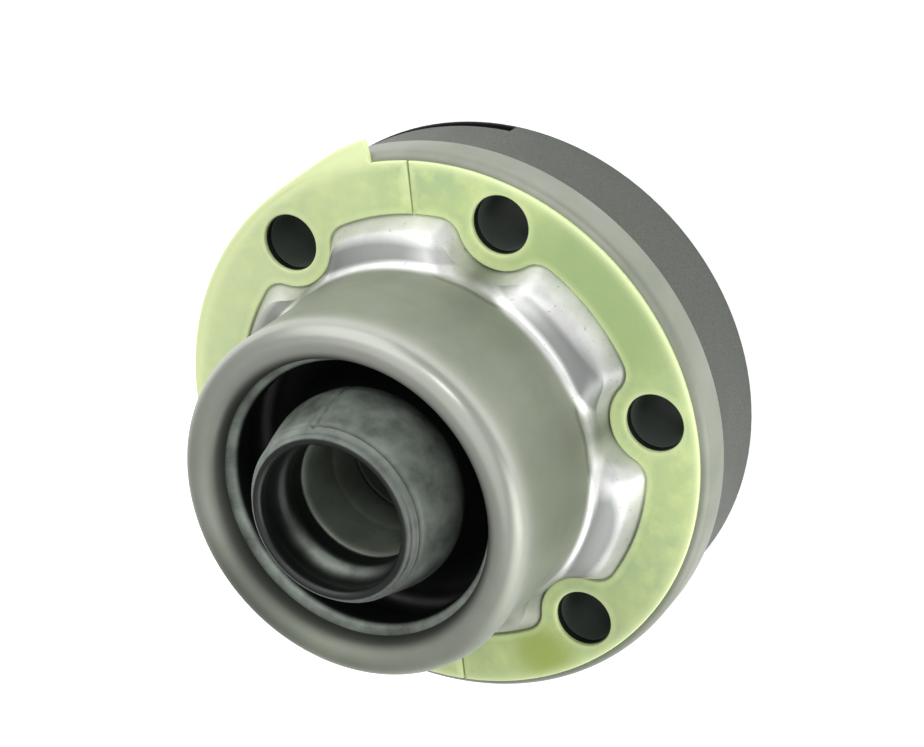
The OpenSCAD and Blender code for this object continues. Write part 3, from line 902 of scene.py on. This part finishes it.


# Sleeve: the imported one's outside, with a lead-in tapering into its bore and a ring groove turned in it
def make_sleeve():
    bore_r = mounts["shaft_bore"]["dims"]["r_mm"]
    sleeve_low, sleeve_high = reach("sleeve")
    cord_low, cord_high = reach("sleeve_seal")
    foot_z, top_z = sleeve_low[2], sleeve_high[2]
    stop_r = sleeve_high[0]
    stop_z = reach("inner_race")[1][2]
    stop_t = 1.6
    wall_r = seat_r - rubber_gap
    groove_r = cord_high[0] - (cord_high[2] - cord_low[2])
    bevel = 0.6
    outside = [
        (bore_r, foot_z), (wall_r, foot_z), (wall_r, stop_z), (stop_r, stop_z),
        (stop_r, stop_z + stop_t), (wall_r, stop_z + stop_t + 1.2),
        (wall_r, cord_low[2]), (groove_r, cord_low[2]), (groove_r, cord_high[2]), (wall_r, cord_high[2]),
        (wall_r, top_z - bevel), (wall_r - bevel, top_z),
    ]
    lead_in = [
        (bore_r + 1.5, top_z), (bore_r + 1.1, top_z - 0.3), (bore_r + 0.8, top_z - 1),
        (bore_r + 0.6, 45.4), (bore_r + 0.4, 44.8), (bore_r, 44.2),
    ]
    ring_groove = [(bore_r, 38.6), (bore_r + 1.8, 38.6), (bore_r + 1.8, 37.6), (bore_r, 37.6)]
    profile = np.array([*outside, *lead_in, *ring_groove])
    piece = make_piece("sleeve_turned", [lathe(profile)], turned_steel, "inner")
    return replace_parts(piece, "sleeve")


make_boot_wall()
make_boot_collar()
make_sleeve()


# Floor, lights and camera
paper = bpy.data.materials.new("white_paper")
paper.use_nodes = True
paper_tree = paper.node_tree
paper_tree.nodes.clear()
paper_fibre = add(paper_tree, "TexNoise", {"Scale": 40, "Detail": 2})
finish_material(paper_tree, {
    "Base Color": mixed(paper_tree, paper_fibre.outputs["Fac"], linear("#f6f6f6"), linear("#fbfbfb")),
    "Roughness": 0.9,
    "Specular IOR Level": 0.1,
    "Emission Color": linear("#ffffff"),
    "Emission Strength": 0.5,
})
floor_mesh = bpy.data.meshes.new("floor")
floor_half = 3000 * MM
floor_corners = [(x * floor_half, y * floor_half, 0) for x, y in ((-1, -1), (1, -1), (1, 1), (-1, 1))]
floor_mesh.from_pydata(floor_corners, [], [(0, 1, 2, 3)])
floor_mesh.materials.append(paper)
floor = bpy.data.objects.new("floor", floor_mesh)
bpy.context.scene.collection.objects.link(floor)

camera_data = bpy.data.cameras.new("camera")
camera_data.lens = 87.55
camera_data.sensor_width = 36
camera_data.clip_end = 20
camera = bpy.data.objects.new("camera", camera_data)
camera.location = Vector((202.63, 125.82, 355.06)) * MM
camera.rotation_euler = Euler([math.radians(a) for a in (-23.184, 26.414, -13.352)])
bpy.context.scene.collection.objects.link(camera)
bpy.context.scene.camera = camera


def softbox(name, place, size, watts):
    """A square soft white light, its place and size in metres, turned to the joint."""
    middle = Vector((0, 0, 35 * MM))
    place = Vector(place)
    data = bpy.data.lights.new(name, "AREA")
    data.shape = "SQUARE"
    data.size = size
    data.energy = watts
    lamp = bpy.data.objects.new(name, data)
    lamp.location = place
    lamp.rotation_euler = (middle - place).to_track_quat("-Z", "Y").to_euler()
    bpy.context.scene.collection.objects.link(lamp)


softbox("key", (-0.25, 1.0, 0.65), 1.2, 8.6)
softbox("low_right", (0.6, -0.85, 0.35), 1.0, 6.8)
softbox("right", (1.0, -0.4, 0.3), 0.6, 3)
softbox("top", (0.1, 0.1, 1.3), 1.5, 6)
softbox("flash", (0.42, 0.47, 0.67), 0.12, 1)

world = bpy.data.worlds.new("studio")
world.use_nodes = True
world.node_tree.nodes["Background"].inputs["Color"].default_value = linear("#ffffff")
world.node_tree.nodes["Background"].inputs["Strength"].default_value = 0.36
bpy.context.scene.world = world
bpy.context.scene.view_settings.view_transform = "Standard"
